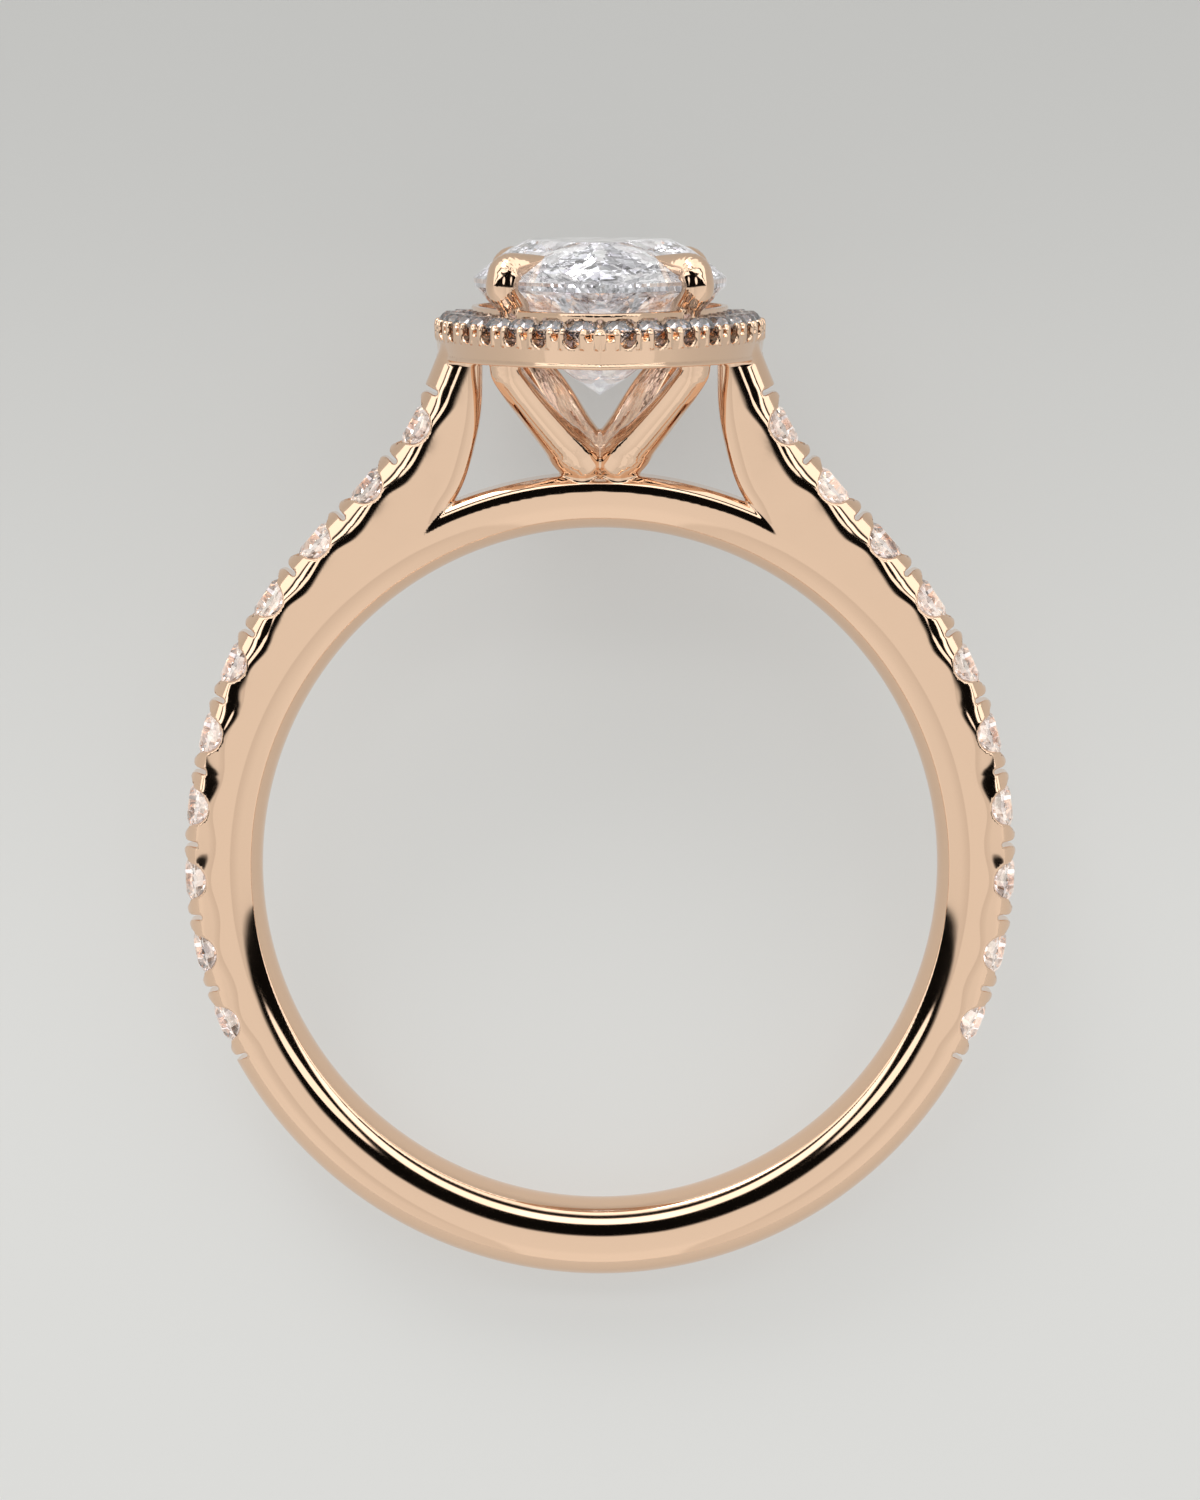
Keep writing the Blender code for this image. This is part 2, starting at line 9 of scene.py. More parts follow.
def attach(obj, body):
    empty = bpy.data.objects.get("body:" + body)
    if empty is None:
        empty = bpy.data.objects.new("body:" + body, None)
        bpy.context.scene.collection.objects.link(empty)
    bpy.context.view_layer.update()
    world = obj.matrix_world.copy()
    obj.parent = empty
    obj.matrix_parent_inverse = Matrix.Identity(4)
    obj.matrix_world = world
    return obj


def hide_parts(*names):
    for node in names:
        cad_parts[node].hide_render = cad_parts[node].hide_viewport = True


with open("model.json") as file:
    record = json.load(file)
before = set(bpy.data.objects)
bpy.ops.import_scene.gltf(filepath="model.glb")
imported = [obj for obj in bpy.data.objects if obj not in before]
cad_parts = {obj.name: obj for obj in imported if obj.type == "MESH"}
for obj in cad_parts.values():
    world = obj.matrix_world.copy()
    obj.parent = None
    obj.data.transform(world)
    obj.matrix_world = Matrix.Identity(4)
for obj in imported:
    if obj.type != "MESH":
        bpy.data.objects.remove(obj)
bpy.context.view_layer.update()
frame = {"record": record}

# Shapes are worked out in millimetres in the ring's own frame, X across the ring, Z to the
# head and Y along the finger with the pear's tip at -Y, and then placed on the CAD part.
FINGER = 8.25  # radius of the finger hole
INNER = 8.10  # radius that the face's inner slope runs out to
CREST = 9.25  # radius of the highest line on the band's face
BRIDGE = 9.59  # outer radius of the bridge
BAND = 10.15  # outer radius of the band
HALF_WIDTH = 0.95  # half the band's width along the finger
HALO_BASE = 12.33  # heights above the ring's centre, up to CULET
HALO_TOP = 13.30
GIRDLE_LOW = 14.10
GIRDLE_HIGH = 14.30
TABLE = 15.22
CULET = 11.40

# The pear is half a circle behind its widest line, and two large arcs that meet at its tip.
BELLY = 1.5  # y of the widest line
PEAR_END = 3.1  # radius of the round end
PEAR_RADIUS = 7.5516  # radius of the two sides
PEAR_SHIFT = PEAR_RADIUS - PEAR_END
# Rings of facets: share of the outline, height.
CROWN_TIERS = ((0.57, TABLE), (0.72, 14.98), (0.88, 14.62), (1.0, GIRDLE_HIGH))
PAVILION_TIERS = ((1.0, GIRDLE_LOW), (0.86, 13.63), (0.66, 13.01), (0.44, 12.39),
                  (0.22, 11.84), (0.0, CULET))

# Side stones: arc length to the first one, from one to the next, how many, and their width.
STONE_START, STONE_PITCH, STONE_COUNT = 1.84, 1.845, 10
SIDE_STONE = 1.3
HALO_STONE = 0.8
HALO_WIDTH = 0.98
HALO_EDGE = 0.1
HALO_MIDDLE = HALO_WIDTH - HALO_STONE / 2 - HALO_EDGE

mount_face = next(m for m in frame["record"]["mounts"] if m["name"] == "stone_table")
HEAD = np.array(mount_face["axis"], float)
HEAD /= np.linalg.norm(HEAD)
ACROSS = np.array([1.0, 0.0, 0.0])
ALONG = np.cross(HEAD, ACROSS)
BASIS = np.stack([ACROSS, ALONG, HEAD])
ORIGIN = np.array(mount_face["pos_m"], float) - (ALONG * BELLY + HEAD * TABLE) / 1000


def to_world(points):
    return ORIGIN + np.asarray(points) @ BASIS / 1000


def clamp(value, low=0.0, high=1.0):
    return np.minimum(np.maximum(value, low), high)


def soft_min(a, b, k):
    h = clamp(0.5 + 0.5 * (b - a) / k)
    return b + (a - b) * h - k * h * (1 - h)


def soft_max(a, b, k):
    return -soft_min(-a, -b, k)


def smooth_rows(rows, at):
    """Reads a two-column table along smooth curves through its rows."""
    x, y = np.array(rows, float).T
    slope = np.gradient(y, x)
    k = np.clip(np.searchsorted(x, at) - 1, 0, len(x) - 2)
    span = x[k + 1] - x[k]
    t = (np.asarray(at) - x[k]) / span
    first = (1 + 2 * t) * (1 - t) ** 2 * y[k] + t * (1 - t) ** 2 * span * slope[k]
    return first + t * t * (3 - 2 * t) * y[k + 1] + t * t * (t - 1) * span * slope[k + 1]


# Curves in the plane of the band.

TOP_ANGLE = math.radians(17.4)
# How far the shoulder stands above the band: angle from the head, share of its top's height.
RISE = ((17.4, 1.0), (18.7, 0.883), (22.6, 0.594), (30.7, 0.332), (40.2, 0.206), (50.6, 0.148),
        (60.7, 0.098), (71.4, 0.046), (81.6, 0.018), (95.0, 0.004), (110.0, 0.0), (200.0, 0.0))
# Inner edge of the shoulder, (x, z), carried on below the bridge.
FORK = ((-1.0, 4.0), (1.6, 4.9), (2.9, 5.9), (3.7, 7.0), (3.92, 7.8), (3.84, 8.35),
        (3.66, 8.76), (3.43, 9.12), (3.26, 9.50), (3.13, 9.92), (3.02, 10.36),
        (2.93, 10.8), (2.87, 11.3), (2.85, 12.2), (2.86, 14.0))
EDGE_LEAD = 1.5  # straight stretch before the shoulder's top
EDGE_END = math.radians(195)


def outer_edge(samples):
    """Points (x, z) on the outer edge from the shoulder's top past the bottom, and their runs."""
    angle = np.linspace(TOP_ANGLE, EDGE_END, samples)
    top = (HALO_BASE + 0.2) / math.cos(TOP_ANGLE)
    radius = BAND + smooth_rows(RISE, np.degrees(angle)) * (top - BAND)
    points = np.stack([radius * np.sin(angle), radius * np.cos(angle)], axis=1)
    tangent = points[0] - points[1]
    points = np.concatenate([[points[0] + tangent / np.linalg.norm(tangent) * EDGE_LEAD], points])
    steps = np.linalg.norm(np.diff(points, axis=0), axis=1)
    return points, np.concatenate([[0.0], np.cumsum(steps)]) - EDGE_LEAD


CURVE_BATCH = 3000


def curve_distance(points, curve, lengths):
    """Signed distance to a plane curve, positive on its left, and the nearest point's run."""
    start, way = curve[:-1], np.diff(curve, axis=0)
    square = (way * way).sum(axis=1)
    signed = np.empty(len(points))
    run = np.empty(len(points))
    for i in range(0, len(points), CURVE_BATCH):
        offset = points[i:i + CURVE_BATCH, None] - start[None]
        t = clamp((offset * way).sum(axis=2) / square)
        gap = offset - t[..., None] * way
        near = (gap * gap).sum(axis=2).argmin(axis=1)
        row = np.arange(len(near))
        size = np.sqrt((gap[row, near] ** 2).sum(axis=1))
        side = way[near, 0] * offset[row, near, 1] - way[near, 1] * offset[row, near, 0]
        signed[i:i + CURVE_BATCH] = np.where(side > 0, size, -size)
        step = lengths[near + 1] - lengths[near]
        run[i:i + CURVE_BATCH] = lengths[near] + t[row, near] * step
    return signed, run


def smooth_curve(rows, samples):
    """A smooth plane curve through rows of (x, z)."""
    rows = np.array(rows, float)
    steps = np.concatenate([[0.0], np.cumsum(np.linalg.norm(np.diff(rows, axis=0), axis=1))])
    at = np.linspace(0, steps[-1], samples)
    return np.stack([smooth_rows(np.stack([steps, column], axis=1), at)
                     for column in rows.T], axis=1)


EDGE, EDGE_RUN = outer_edge(420)
GRID = 0.08
GRID_X = np.arange(-0.16, 11.4, GRID)
GRID_Z = np.arange(-11.4, 14.0, GRID)


def plane_tables():
    """Grid over (x, z): distance outside the outer edge, run along it, distance past the fork."""
    gx, gz = np.meshgrid(GRID_X, GRID_Z, indexing="ij")
    points = np.stack([gx.ravel(), gz.ravel()], axis=1)
    outside, run = curve_distance(points, EDGE, EDGE_RUN)
    fork = smooth_curve(FORK, 160)
    opening, _ = curve_distance(points, fork, np.zeros(len(fork)))
    table = np.stack([outside, run, opening], axis=1)
    return table.reshape(len(GRID_X), len(GRID_Z), 3)


PLANE = plane_tables()


def read_plane(x, z):
    """The three grids of PLANE read at points (x, z), for x >= 0."""
    u = clamp((x - GRID_X[0]) / GRID, 0, len(GRID_X) - 1.001)
    v = clamp((z - GRID_Z[0]) / GRID, 0, len(GRID_Z) - 1.001)
    i, j = u.astype(int), v.astype(int)
    u, v = (u - i)[:, None], (v - j)[:, None]
    low = PLANE[i, j] * (1 - v) + PLANE[i, j + 1] * v
    high = PLANE[i + 1, j] * (1 - v) + PLANE[i + 1, j + 1] * v
    return (low * (1 - u) + high * u).T


# The solid gold as one distance field, negative inside.

def corner(d, side, depth, reach):
    """Two faces, distances d and side, that meet in an elliptical corner."""
    u = np.maximum((d + depth) / depth, 0.0)
    v = np.maximum((side + reach) / reach, 0.0)
    return (np.sqrt(u * u + v * v + 1e-9) - 1) * np.minimum(depth, reach)


# Round each side stone the band's crest dips and waves, and its face ripples.
CREST_DIP, CREST_WAVE = 0.06, 0.11
RIPPLE, RIPPLE_PLACE, RIPPLE_REACH = 0.008, 0.5, 0.3
OPENING_BEVEL, OPENING_DROP, OPENING_ROUND, CROTCH_ROUND = 0.45, 0.29, 0.06, 0.08
# Cuts along the outer edge: depth of a cut's centre, radius, and how far its edges are rounded.
WINDOW_DEPTH, WINDOW_RADIUS, WINDOW_ROUND = 0.11, 0.45, 0.05
NOTCH_DEPTH, NOTCH_RADIUS, NOTCH_ROUND = 0.30, 0.065, 0.04
PRONG_PLACE, PRONG_FLAT, PRONG_RADIUS, PRONG_REACH = 0.27, 0.06, 0.15, 0.9
SEAT_RADIUS, SEAT_DEPTH, SEAT_SLOPE, SEAT_HEIGHT, SEAT_ROUND = 0.67, 0.26, 1.1, 0.4, 0.03
COMFORT, COMFORT_ROUND = 0.50, 0.015
CONE_SCALE = 0.7  # turns a sideways distance to a sloping wall into about the true one


def shank_field(x, y, z):
    """The band with its shoulders and bridge, cut for the side stones."""
    ax, ay, r = np.abs(x), np.abs(y), np.hypot(x, z)
    outside, run, opening = read_plane(ax, z)
    index = clamp(np.round((run - STONE_START) / STONE_PITCH), 0, STONE_COUNT - 1)
    u = run - STONE_START - index * STONE_PITCH
    wave = np.cos(2 * math.pi * u / STONE_PITCH)
    stones = clamp(2.5 - 2 * np.abs(u))
    fade = np.exp(-((outside + RIPPLE_PLACE) / RIPPLE_REACH) ** 2)
    side = ay - HALF_WIDTH + RIPPLE * wave * stones * fade
    crest = BAND - CREST - (CREST_DIP + CREST_WAVE * wave) * stones
    body = np.maximum(corner(outside, side, crest, HALF_WIDTH),
                      corner(INNER - r, side, CREST - INNER, HALF_WIDTH))
    opening = soft_min(opening, r - BRIDGE, CROTCH_ROUND)
    body = soft_max(body, corner(opening, side, OPENING_BEVEL, OPENING_DROP), OPENING_ROUND)
    depth = -outside
    window = np.hypot(u, np.maximum(depth - WINDOW_DEPTH, 0.0)) - WINDOW_RADIUS
    place = clamp(np.round((run - STONE_START) / STONE_PITCH + 0.5), 0, STONE_COUNT) - 0.5
    w = run - STONE_START - place * STONE_PITCH
    notch = np.hypot(w, np.maximum(depth - NOTCH_DEPTH, 0.0)) - NOTCH_RADIUS
    prong = np.abs(np.abs(w) - PRONG_PLACE)
    dome = np.hypot(np.maximum(prong - PRONG_FLAT, 0.0),
                    np.maximum(PRONG_RADIUS - depth, 0.0)) - PRONG_RADIUS
    domed = (depth < PRONG_RADIUS) & (np.abs(w) < PRONG_REACH) & (np.abs(u) < 0.5 * STONE_PITCH)
    dome = np.where(domed, dome, -1.0)
    across = np.hypot(u, y)
    cone = np.minimum(SEAT_RADIUS, SEAT_RADIUS - (depth - SEAT_DEPTH) * SEAT_SLOPE)
    seat = np.maximum((across - cone) * CONE_SCALE, -depth - SEAT_HEIGHT)
    body = soft_max(body, -window, WINDOW_ROUND)
    body = soft_max(body, -notch, NOTCH_ROUND)
    body = np.maximum(body, dome)
    body = soft_max(body, -seat, SEAT_ROUND)
    barrel = FINGER + COMFORT * y * y - r
    return soft_max(body, barrel, COMFORT_ROUND)


def pear_offset(x, y):
    """Distance outside the centre stone's outline, for x >= 0."""
    end = np.hypot(x, y - BELLY) - PEAR_END
    side = np.hypot(x + PEAR_SHIFT, y - BELLY) - PEAR_RADIUS
    return np.where(y > BELLY, end, side)


# Arc lengths run along the middle of the halo, from its tip to its round end.
STONE_SPACE = 0.96  # wished distance from one halo stone to the next
TIP_SPACE = 0.03  # between the two stones at the tip
TIP_TURN = math.acos(PEAR_SHIFT / (PEAR_RADIUS + HALO_MIDDLE))
SIDE_RUN = TIP_TURN * (PEAR_RADIUS + HALO_MIDDLE)
HALF_RUN = SIDE_RUN + (PEAR_END + HALO_MIDDLE) * math.pi / 2
HALO_START = (HALO_STONE + TIP_SPACE) / 2 / math.sin(TIP_TURN)
HALO_COUNT = round((HALF_RUN - HALO_START) / STONE_SPACE + 0.5)
HALO_STEP = (HALF_RUN - HALO_START) / (HALO_COUNT - 0.5)


def halo_run(x, y):
    """Arc length along the middle of the halo, from its tip, for x >= 0."""
    side = (TIP_TURN - np.arctan2(BELLY - y, x + PEAR_SHIFT)) * (PEAR_RADIUS + HALO_MIDDLE)
    end = SIDE_RUN + np.arctan2(y - BELLY, x) * (PEAR_END + HALO_MIDDLE)
    return np.where(y > BELLY, end, side)


def halo_point(run, offset):
    """Point (x, y) at an arc length along the halo and an offset from the stone's outline."""
    if run < SIDE_RUN:
        turn = TIP_TURN - run / (PEAR_RADIUS + HALO_MIDDLE)
        normal = np.array([math.cos(turn), -math.sin(turn)])
        return np.array([-PEAR_SHIFT, BELLY]) + normal * (PEAR_RADIUS + offset)
    turn = (run - SIDE_RUN) / (PEAR_END + HALO_MIDDLE)
    normal = np.array([math.cos(turn), math.sin(turn)])
    return np.array([0.0, BELLY]) + normal * (PEAR_END + offset)


def box_field(u, v, low_u, high_u, low_v, high_v, radius):
    """Distance outside a box with rounded corners."""
    a = np.abs(u - (low_u + high_u) / 2) - (high_u - low_u) / 2 + radius
    b = np.abs(v - (low_v + high_v) / 2) - (high_v - low_v) / 2 + radius
    outer = np.hypot(np.maximum(a, 0), np.maximum(b, 0))
    return outer + np.minimum(np.maximum(a, b), 0) - radius


# Section of the halo: offsets from the stone's outline, and heights from its base or top.
EDGE_RADIUS = 0.05
WALL_DRAFT, WALL_HEIGHT, WALL_REACH = 0.12, 0.97, 1.2
RIM_INSIDE, RIM_DROP = 0.02, 0.10
LIP_INSIDE, LIP_OUTSIDE, LIP_HEIGHT = 0.6, 0.905, 0.12
COLLAR_INSIDE, COLLAR_OUTSIDE, COLLAR_BASE, COLLAR_TOP = -0.12, 0.05, 0.1, 0.32
HALO_SEAT_RADIUS, HALO_SEAT_DEPTH, HALO_SEAT_ROUND = 0.41, 0.28, 0.03
# Beads: half the gap between a pair, offset from the stones' middle, depth, radius, length.
OUTER_BEADS = (0.20, 0.38, 0.09, 0.095, 0.5)
INNER_BEADS = (0.10, -0.38, 0.12, 0.10, 0.4)
BEAD_ROUND = 0.03
# Cuts down the wall: depth of the cut's centre, radius, offset where it starts, rounding.
SCALLOPS = (0.26, 0.215, 0.05, 0.05)
NOTCHES = (0.20, 0.10, 0.22, 0.04)


def halo_field(x, y, z):
    """The halo's rim, with its collar, the stones' seats, and the beads and cuts round them."""
    ax = np.abs(x)
    offset = pear_offset(ax, y)
    wall = offset + WALL_DRAFT * clamp((HALO_TOP - z) / WALL_HEIGHT, 0, WALL_REACH)
    rim = box_field(wall, z, RIM_INSIDE, HALO_WIDTH, HALO_BASE, HALO_TOP - RIM_DROP, EDGE_RADIUS)
    lip = box_field(offset, z, LIP_INSIDE, LIP_OUTSIDE,
                    HALO_BASE, HALO_BASE + LIP_HEIGHT, EDGE_RADIUS)
    rim = np.minimum(rim, lip)
    collar = box_field(offset, z, COLLAR_INSIDE, COLLAR_OUTSIDE,
                       HALO_BASE + COLLAR_BASE, HALO_TOP + COLLAR_TOP, EDGE_RADIUS)
    rim = soft_min(rim, collar, EDGE_RADIUS)
    run = halo_run(ax, y)
    index = clamp(np.round((run - HALO_START) / HALO_STEP), 0, HALO_COUNT - 1)
    u = run - HALO_START - index * HALO_STEP
    v = offset - HALO_MIDDLE
    drop = HALO_TOP - z
    gap = np.minimum(np.abs(u - HALO_STEP / 2), np.abs(u + HALO_STEP / 2))
    gap = np.where((index == 0) & (u < 0), np.abs(run), gap)
    seat = np.maximum(np.hypot(u, v) - HALO_SEAT_RADIUS, HALO_TOP - HALO_SEAT_DEPTH - z)
    rim = soft_max(rim, -seat, HALO_SEAT_ROUND)
    beads = []
    for half_gap, place, depth, radius, length in (OUTER_BEADS, INNER_BEADS):
        cap = np.maximum(depth - drop, 0)
        ball = np.sqrt((gap - half_gap) ** 2 + (v - place) ** 2 + cap ** 2) - radius
        beads.append(np.maximum(ball, drop - length))
    rim = soft_min(rim, np.minimum(*beads), BEAD_ROUND)
    for along, (depth, radius, start, rounding) in ((u, SCALLOPS), (gap, NOTCHES)):
        cut = np.hypot(along, np.maximum(drop - depth, 0.0)) - radius
        rim = soft_max(rim, -np.maximum(cut, start - v), rounding)
    return rim


# Arms, front and rear: share of the way up to the halo, reach as a share of the claw's, width.
ARM_ROWS = (((0.13, 0.25, 1.25), (0.20, 0.325, 1.27), (0.28, 0.40, 1.18),
             (0.38, 0.52, 1.05), (0.63, 0.777, 0.94), (0.82, 0.955, 0.90), (0.97, 1.05, 0.86)),
            ((0.13, 0.14, 1.25), (0.20, 0.20, 1.30), (0.38, 0.36, 1.22),
             (0.63, 0.54, 1.10), (0.80, 0.69, 1.0), (0.92, 0.86, 0.94)))
# Claws: share of the way from the halo's base to the table, place outside the girdle, width.
CLAW_ROWS = ((0.18, -0.08, 0.74), (0.35, -0.20, 0.76), (0.48, -0.12, 0.82), (0.56, 0.09, 0.93),
             (0.62, 0.24, 1.0), (0.67, 0.245, 1.0), (0.72, 0.205, 0.98), (0.765, 0.15, 0.92),
             (0.797, -0.01, 0.80), (0.813, -0.40, 0.66), (0.832, -0.84, 0.44),
             (0.850, -1.30, 0.20))
CLAW_X = 2.15  # distance of each claw from the ring's middle plane
CLAW_REACH = 0.72
ARM_SIZE = (0.54, 0.42)  # half width and half thickness at width 1
CLAW_SIZE = (0.52, 0.40)
CLAW_THICKER = 0.10  # a claw's thickness falls off later than its width
SWEEP_SAMPLES = 52


def claw_sweep(front):
    """Points up the middle of an arm and its claw, with half sizes and frames."""
    if front:
        turn = math.acos((CLAW_X + PEAR_SHIFT) / PEAR_RADIUS)
        normal = np.array([math.cos(turn), -math.sin(turn)])
        foot = np.array([CLAW_X, BELLY - PEAR_RADIUS * math.sin(turn)])
    else:
        turn = math.acos(CLAW_X / PEAR_END)
        normal = np.array([math.cos(turn), math.sin(turn)])
        foot = np.array([0.0, BELLY]) + normal * PEAR_END
    rows = [(*(foot * reach), BRIDGE + (HALO_BASE - BRIDGE) * rise,
             ARM_SIZE[0] * width, ARM_SIZE[1] * width)
            for rise, reach, width in ARM_ROWS[0 if front else 1]]
    rows += [(*(foot + normal * CLAW_REACH * out), HALO_BASE + (TABLE - HALO_BASE) * rise,
              CLAW_SIZE[0] * width, CLAW_SIZE[1] * min(1.0, width + CLAW_THICKER))
             for rise, out, width in CLAW_ROWS]
    rows = np.array(rows)
    at = np.linspace(0, len(rows) - 1, SWEEP_SAMPLES)
    rows = np.stack([smooth_rows(np.stack([np.arange(len(rows)), column], axis=1), at)
                     for column in rows.T], axis=1)
    centre = rows[:, :3]
    tangent = np.gradient(centre, axis=0)
    tangent /= np.linalg.norm(tangent, axis=1)[:, None]
    across = np.array([-normal[1], normal[0], 0.0])
    out = np.cross(across, tangent)
    out /= np.linalg.norm(out, axis=1)[:, None]
    flat = np.cross(tangent, out)
    return centre, rows[:, 3], rows[:, 4], out, flat, tangent


SWEEPS = (claw_sweep(True), claw_sweep(False))
SWEEP_BATCH = 20000


def sweep_field(points, sweep):
    """About the distance to one arm and claw, an ellipse swept along its middle."""
    centre, half_width, half_thick, out, flat, tangent = sweep
    start, way = centre[:-1], np.diff(centre, axis=0)
    square = (way * way).sum(axis=1)
    result = np.empty(len(points))
    for i in range(0, len(points), SWEEP_BATCH):
        block = points[i:i + SWEEP_BATCH]
        offset = block[:, None] - start[None]
        t = clamp((offset * way).sum(axis=2) / square)
        gap = offset - t[..., None] * way
        near = (gap * gap).sum(axis=2).argmin(axis=1)
        row = np.arange(len(near))
        s = t[row, near]
        v = gap[row, near]

        def mixed(values):
            weight = s if values.ndim == 1 else s[:, None]
            return values[near] * (1 - weight) + values[near + 1] * weight

        hw, ht = mixed(half_width), mixed(half_thick)
        a = (v * mixed(flat)).sum(axis=1) / hw
        b = (v * mixed(out)).sum(axis=1) / ht
        c = (v * mixed(tangent)).sum(axis=1) / ht
        reach = np.sqrt(a * a + b * b + c * c + 1e-12)
        result[i:i + SWEEP_BATCH] = (reach - 1) * np.minimum(hw, ht)
    return result


PAVILION_SCALE = 0.72  # turns a sideways distance to the stone's slope into about the true one
FAR = 9.0
SHANK_TOP = 12.75
ARMS_LOW, ARMS_WIDE, ARM_OVERLAP = 8.9, 3.6, 0.7
HALO_LOW = 12.0
ARM_BLEND, JOIN_BLEND = 0.08, 0.10
STONE_GAP, STONE_SEAT_ROUND = 0.03, 0.02


def stone_field(x, y, z):
    """The centre stone, smooth, for its seat in the claws."""
    reach = np.hypot(x, y - BELLY) + 1e-6
    share = reach / np.maximum(reach - pear_offset(np.abs(x), y), 0.3)
    tiers = sorted((height, part) for part, height in CROWN_TIERS + PAVILION_TIERS)
    heights, shares = zip(*tiers)
    flank = (share - np.interp(z, heights, shares)) * reach / np.maximum(share, 0.1)
    return np.maximum(flank * PAVILION_SCALE, z - TABLE)


def gold_field(points):
    """Distance outside all the gold, each part worked out only near where it lies."""
    x, y, z = points.T
    field = np.full(len(points), FAR)
    low = z < SHANK_TOP
    field[low] = shank_field(x[low], y[low], z[low])
    middle = (z > ARMS_LOW) & (np.abs(x) < ARMS_WIDE)
    if middle.any():
        arms = np.full(middle.sum(), FAR)
        here = points[middle]
        for sweep in SWEEPS:
            for side in (1.0, -1.0):
                mirrored = here * np.array([side, 1.0, 1.0])
                close = mirrored[:, 0] > -ARM_OVERLAP
                if close.any():
                    arm = sweep_field(mirrored[close], sweep)
                    arms[close] = soft_min(arms[close], arm, ARM_BLEND)
        field[middle] = soft_min(field[middle], arms, JOIN_BLEND)
    high = z > HALO_LOW
    if high.any():
        hx, hy, hz = x[high], y[high], z[high]
        blended = soft_min(field[high], halo_field(hx, hy, hz), JOIN_BLEND)
        seat = stone_field(hx, hy, hz) - STONE_GAP
        field[high] = soft_max(blended, -seat, STONE_SEAT_ROUND)
    return field


# From the field to a mesh.
FIELD_BATCH = 200000
BLOCK_BATCH = 300
BLOCK_REACH = 1.3  # half a block's diagonal and more, as the field isn't an exact distance
FIELD_LOW = np.array([-10.6, -6.3, -10.6])
FIELD_HIGH = np.array([10.6, 6.1, 15.6])
KEY_STRIDE = 4096
CELL, QUICK_CELL = 0.055, 0.10
SETTLE_STEPS, SETTLE_SHIFT, SETTLE_MOVE, NORMAL_SHIFT = 3, 0.006, 0.5, 0.22


def evaluate(points):
    return np.concatenate([gold_field(points[i:i + FIELD_BATCH])
                           for i in range(0, len(points), FIELD_BATCH)])


def slopes(points, step):
    """Gradient of the gold's field by central differences."""
    result = np.empty_like(points)
    for axis in range(3):
        shift = np.zeros(3)
        shift[axis] = step
        result[:, axis] = (evaluate(points + shift) - evaluate(points - shift)) / (2 * step)
    return result


def active_blocks(size):
    """Blocks of the grid that may hold some of the gold's surface."""
    counts = np.ceil((FIELD_HIGH - FIELD_LOW) / size).astype(int)
    index = np.stack(np.meshgrid(*[np.arange(n) for n in counts], indexing="ij"), axis=-1)
    index = index.reshape(-1, 3)
    centre = FIELD_LOW + (index + 0.5) * size
    reach = np.hypot(centre[:, 0], centre[:, 2])
    in_band = np.abs(centre[:, 1]) < HALF_WIDTH + size
    index = index[(reach > FINGER - size) & (in_band | (centre[:, 2] > HEAD_LOW))]
    near = np.abs(evaluate(FIELD_LOW + (index + 0.5) * size)) < size * BLOCK_REACH
    return index[near]


def surface(cell, block=8):
    """Surface nets over the blocks that hold the gold's surface: points, quads."""
    low = FIELD_LOW
    blocks = active_blocks(cell * block)
    n = block + 1
    steps = np.stack(np.meshgrid(*[np.arange(n)] * 3, indexing="ij"), axis=-1).reshape(-1, 3)
    values = np.empty((len(blocks), n, n, n))
    for i in range(0, len(blocks), BLOCK_BATCH):
        part = blocks[i:i + BLOCK_BATCH]
        corners = (part[:, None] * block + steps[None]).reshape(-1, 3)
        values[i:i + BLOCK_BATCH] = evaluate(low + corners * cell).reshape(-1, n, n, n)
    inside = values < 0
    corner_offsets = [(a, b, c) for a in (0, 1) for b in (0, 1) for c in (0, 1)]
    count = sum(inside[:, a:a + block, b:b + block, c:c + block].astype(int)
                for a, b, c in corner_offsets)
    held = np.argwhere((count > 0) & (count < 8))
    cells = blocks[held[:, 0]] * block + held[:, 1:]
    corner_values = {
        o: values[held[:, 0], held[:, 1] + o[0], held[:, 2] + o[1], held[:, 3] + o[2]]
        for o in corner_offsets}
    total = np.zeros((len(held), 3))
    crossings = np.zeros(len(held))
    for o in corner_offsets:
        for axis in range(3):
            if o[axis]:
                continue
            p = tuple(1 if k == axis else o[k] for k in range(3))
            a, b = corner_values[o], corner_values[p]
            cut = (a < 0) != (b < 0)
            t = np.where(cut, a / np.where(cut, a - b, 1.0), 0.0)
            place = np.array(o, float) + t[:, None] * np.eye(3)[axis]
            total += place * cut[:, None]
            crossings += cut
    points = low + (cells + total / crossings[:, None]) * cell
    span = np.array([KEY_STRIDE * KEY_STRIDE, KEY_STRIDE, 1])
    keys = cells @ span
    order = np.argsort(keys)
    keys = keys[order]

    def find(wanted):
        wanted = wanted @ span
        place = np.clip(np.searchsorted(keys, wanted), 0, len(keys) - 1)
        return np.where(keys[place] == wanted, order[place], -1)

    quads = []
    for axis in range(3):
        step = np.eye(3, dtype=int)[axis]
        here = inside[:, :block, :block, :block]
        there = inside[:, step[0]:step[0] + block, step[1]:step[1] + block,
                       step[2]:step[2] + block]
        cut = np.argwhere(here != there)
        base = blocks[cut[:, 0]] * block + cut[:, 1:]
        u, v = np.eye(3, dtype=int)[(axis + 1) % 3], np.eye(3, dtype=int)[(axis + 2) % 3]
        ring = np.stack([find(base - u - v), find(base - v), find(base), find(base - u)], axis=1)
        outwards = here[tuple(cut.T)]
        ring = np.where(outwards[:, None], ring, ring[:, ::-1])
        quads.append(ring[(ring >= 0).all(axis=1)])
    return points, np.concatenate(quads)


